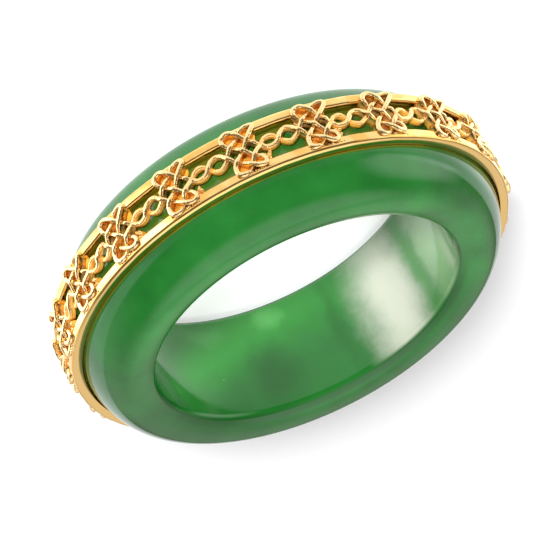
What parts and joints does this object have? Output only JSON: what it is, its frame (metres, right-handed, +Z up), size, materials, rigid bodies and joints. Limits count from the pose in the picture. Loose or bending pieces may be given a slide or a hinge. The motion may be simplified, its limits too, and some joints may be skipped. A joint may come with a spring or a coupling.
{
  "type": "jade band ring with a gold filigree band",
  "caption": "Wide domed jade finger ring lying on its side, with a pierced gold band of woven knots and twisted eyelets between two rails round its crown.",
  "frame": {"origin": "centre of the lower side of the jade, on the ring's axis, where the ring rests when it lies on its side", "axes": "+Z up along the ring's axis; -Y is the side of the outer wall that faces the picture's camera"},
  "size_m": [0.0258, 0.0258, 0.0073],
  "materials": {
    "jade": "polished, translucent, cloudy green",
    "gold": "polished yellow gold plate"
  },
  "bodies": {
    "root": {"jade_band": "jade", "gold_filigree_band": "gold"}
  },
  "joints": []
}
